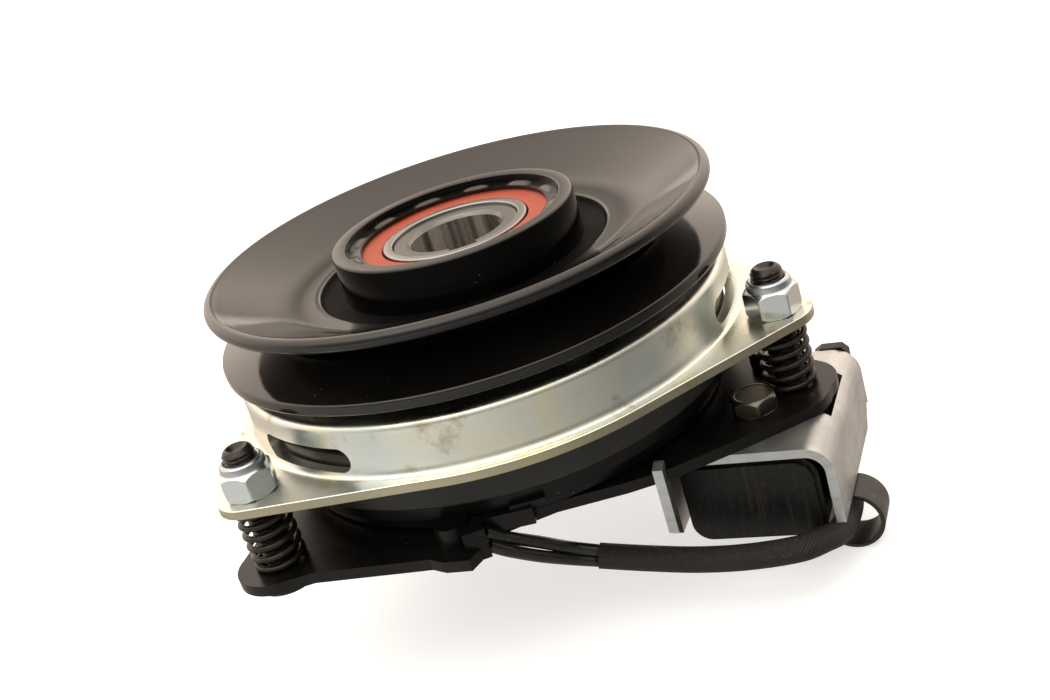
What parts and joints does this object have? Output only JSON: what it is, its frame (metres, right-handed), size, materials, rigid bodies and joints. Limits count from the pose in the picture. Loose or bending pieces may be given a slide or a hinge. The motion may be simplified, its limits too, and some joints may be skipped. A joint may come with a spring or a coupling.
{
  "type": "electromagnetic clutch",
  "caption": "Shaft-mounted electromagnetic clutch and brake with a belt pulley, spring-backed brake plate on adjusting studs, field coil with wire lead and an anti-rotation bracket.",
  "frame": {"origin": "centre of the shaft bore at the lower face of the hub", "axes": "+Z along the shaft bore from the field plate towards the pulley; the bracket ear points 30 degrees from +X towards -Y"},
  "size_m": [0.1735, 0.1701, 0.1009],
  "materials": {
    "pulley_black": "satin black paint",
    "bearing_steel": "ground bearing steel",
    "seal_rubber": "orange-red seal rubber",
    "cage_brass": "stamped cage",
    "spring_steel": "blued flat spring",
    "armature_steel": "ground steel plate",
    "hub_steel": "machined sintered steel",
    "rotor_grey": "dark grey coating",
    "zinc_yellow": "zinc with pale yellow passivation",
    "lining": "friction lining",
    "zinc_bright": "bright zinc nut",
    "oiled_black": "black oxide",
    "field_black": "satin black coating",
    "bobbin_black": "moulded nylon",
    "copper": "enamelled copper",
    "zinc_grey": "grey zinc",
    "block_rubber": "moulded rubber",
    "bolt_dark": "dark zinc bolt",
    "wire_black": "glossy wire insulation",
    "braid": "braided sleeve",
    "clip_black": "moulded clip",
    "connector_black": "moulded nylon housing",
    "terminal_tin": "tinned terminals"
  },
  "bodies": {
    "field": {"field_plate": "field_black", "field_shell": "field_black", "field_hub": "bearing_steel", "coil_bobbin": "bobbin_black", "coil_winding": "copper", "field_bearing_outer": "bearing_steel", "field_retaining_ring": "oiled_black", "strain_relief": "clip_black", "bracket": "zinc_grey", "bumper_block": "block_rubber", "bracket_bolt_front": "bolt_dark", "bracket_bolt_rear": "bolt_dark", "bracket_nut_front": "zinc_grey", "bracket_nut_rear": "zinc_grey", "stud_left": "oiled_black", "stud_right": "oiled_black", "stud_rear": "oiled_black", "spring_left": "oiled_black", "spring_right": "oiled_black", "spring_rear": "oiled_black", "lead_wire_a": "wire_black", "lead_wire_b": "wire_black", "lead_sleeve": "braid", "tail_wire_a": "wire_black", "tail_wire_b": "wire_black", "cable_clip": "clip_black", "connector": "connector_black", "connector_lock": "connector_black", "connector_terminals": "terminal_tin"},
    "rotor": {"rotor_hub": "hub_steel", "rotor": "rotor_grey", "bearing_inner_ring": "bearing_steel", "field_bearing_inner": "bearing_steel"},
    "pulley": {"sheave_upper": "pulley_black", "sheave_lower": "pulley_black", "bearing_housing": "pulley_black", "bearing_retainer": "pulley_black", "bearing_outer_ring": "bearing_steel", "bearing_seal_upper": "seal_rubber", "bearing_seal_lower": "seal_rubber", "armature_springs": "spring_steel"},
    "armature": {"armature": "armature_steel", "armature_pins": "bearing_steel"},
    "pulley_bearing_train": {"bearing_balls": "bearing_steel", "bearing_cage": "cage_brass"},
    "field_bearing_train": {"field_bearing_balls": "bearing_steel", "field_bearing_cage": "cage_brass"},
    "brake": {"brake_plate": "zinc_yellow", "brake_cup": "zinc_yellow", "brake_lining": "lining"},
    "nut_left": {"locknut_left": "zinc_bright"},
    "nut_right": {"locknut_right": "zinc_bright"},
    "nut_rear": {"locknut_rear": "zinc_bright"}
  },
  "joints": [
    {"name": "rotor_spin", "type": "hinge", "parent": "field", "child": "rotor", "pos_m": [0, 0, 0.02], "axis": [0, 0, 1], "continuous": true},
    {"name": "pulley_spin", "type": "hinge", "parent": "rotor", "child": "pulley", "pos_m": [0, 0, 0.05], "axis": [0, 0, 1], "continuous": true},
    {"name": "armature_pull", "type": "slide", "parent": "pulley", "child": "armature", "axis": [0, 0, -1], "range_m": [0, 0.0004], "stiffness_N_per_m": 30000, "springref_m": -0.0005},
    {"name": "pulley_cage_spin", "type": "hinge", "parent": "rotor", "child": "pulley_bearing_train", "pos_m": [0, 0, 0.049], "axis": [0, 0, 1], "continuous": true},
    {"name": "field_cage_spin", "type": "hinge", "parent": "field", "child": "field_bearing_train", "pos_m": [0, 0, 0.007], "axis": [0, 0, 1], "continuous": true},
    {"name": "brake_adjust", "type": "slide", "parent": "field", "child": "brake", "axis": [0, 0, 1], "range_m": [-0.0001, 0.0015], "deforming": ["spring_left", "spring_right", "spring_rear"]},
    {"name": "nut_left_turn", "type": "hinge", "parent": "brake", "child": "nut_left", "pos_m": [-0.06946, -0.0401, 0.027], "axis": [0, 0, 1], "range_deg": [-37, 513]},
    {"name": "nut_right_turn", "type": "hinge", "parent": "brake", "child": "nut_right", "pos_m": [0.06946, -0.0401, 0.027], "axis": [0, 0, 1], "range_deg": [-37, 513]},
    {"name": "nut_rear_turn", "type": "hinge", "parent": "brake", "child": "nut_rear", "pos_m": [0, 0.0802, 0.027], "axis": [0, 0, 1], "range_deg": [-37, 513]}
  ],
  "couplings": [
    {"joint": "pulley_cage_spin", "follows": "pulley_spin", "ratio": 0.5644},
    {"joint": "field_cage_spin", "follows": "rotor_spin", "ratio": 0.4356},
    {"joint": "nut_left_turn", "follows": "brake_adjust", "rad_per_m": 5936.9},
    {"joint": "nut_right_turn", "follows": "brake_adjust", "rad_per_m": 5936.9},
    {"joint": "nut_rear_turn", "follows": "brake_adjust", "rad_per_m": 5936.9}
  ]
}
